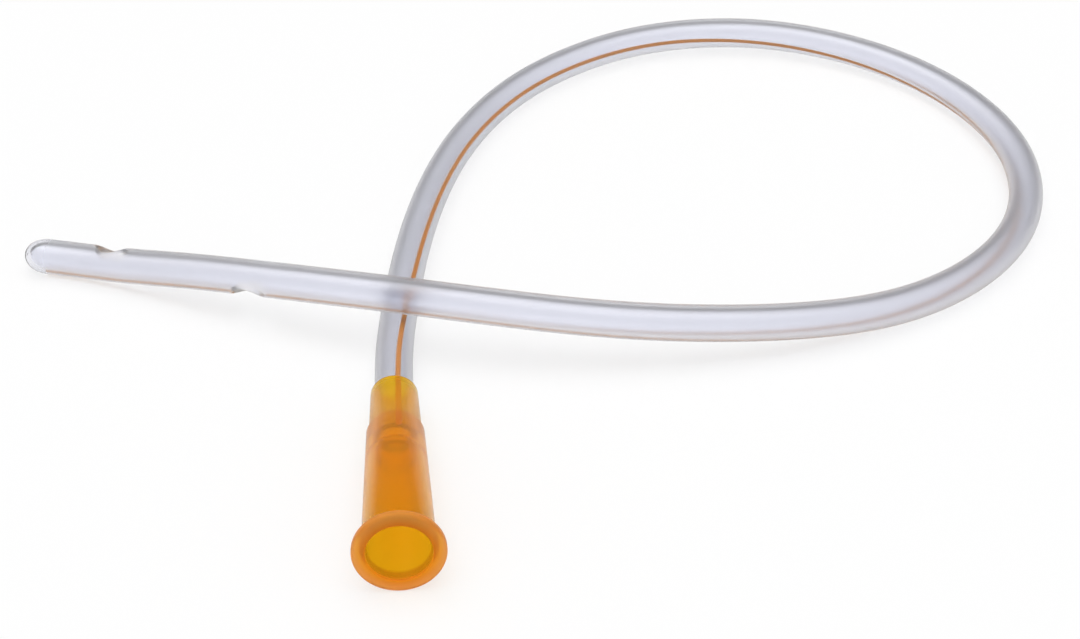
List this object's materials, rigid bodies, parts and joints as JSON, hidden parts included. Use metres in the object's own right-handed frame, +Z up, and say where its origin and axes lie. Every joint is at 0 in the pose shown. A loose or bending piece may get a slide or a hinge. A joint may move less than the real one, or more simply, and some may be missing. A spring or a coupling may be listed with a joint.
{
  "type": "nelaton catheter",
  "caption": "Soft clear nelaton catheter with a closed round tip, side eyes and an orange funnel connector, lying in one loose loop.",
  "frame": {"origin": "on the table, below the middle of the whole object's bounding box", "axes": "+Z up from the table; -Y towards the viewer, the way the funnel's mouth faces; +X towards the loop, away from the closed tip"},
  "size_m": [0.16, 0.1467, 0.0116],
  "materials": {
    "clear_soft_plastic": "frosted, see-through soft plastic",
    "orange_moulded_plastic": "smooth, slightly see-through moulded plastic"
  },
  "bodies": {
    "root": {"tube": "clear_soft_plastic", "funnel_connector": "orange_moulded_plastic"}
  },
  "joints": []
}
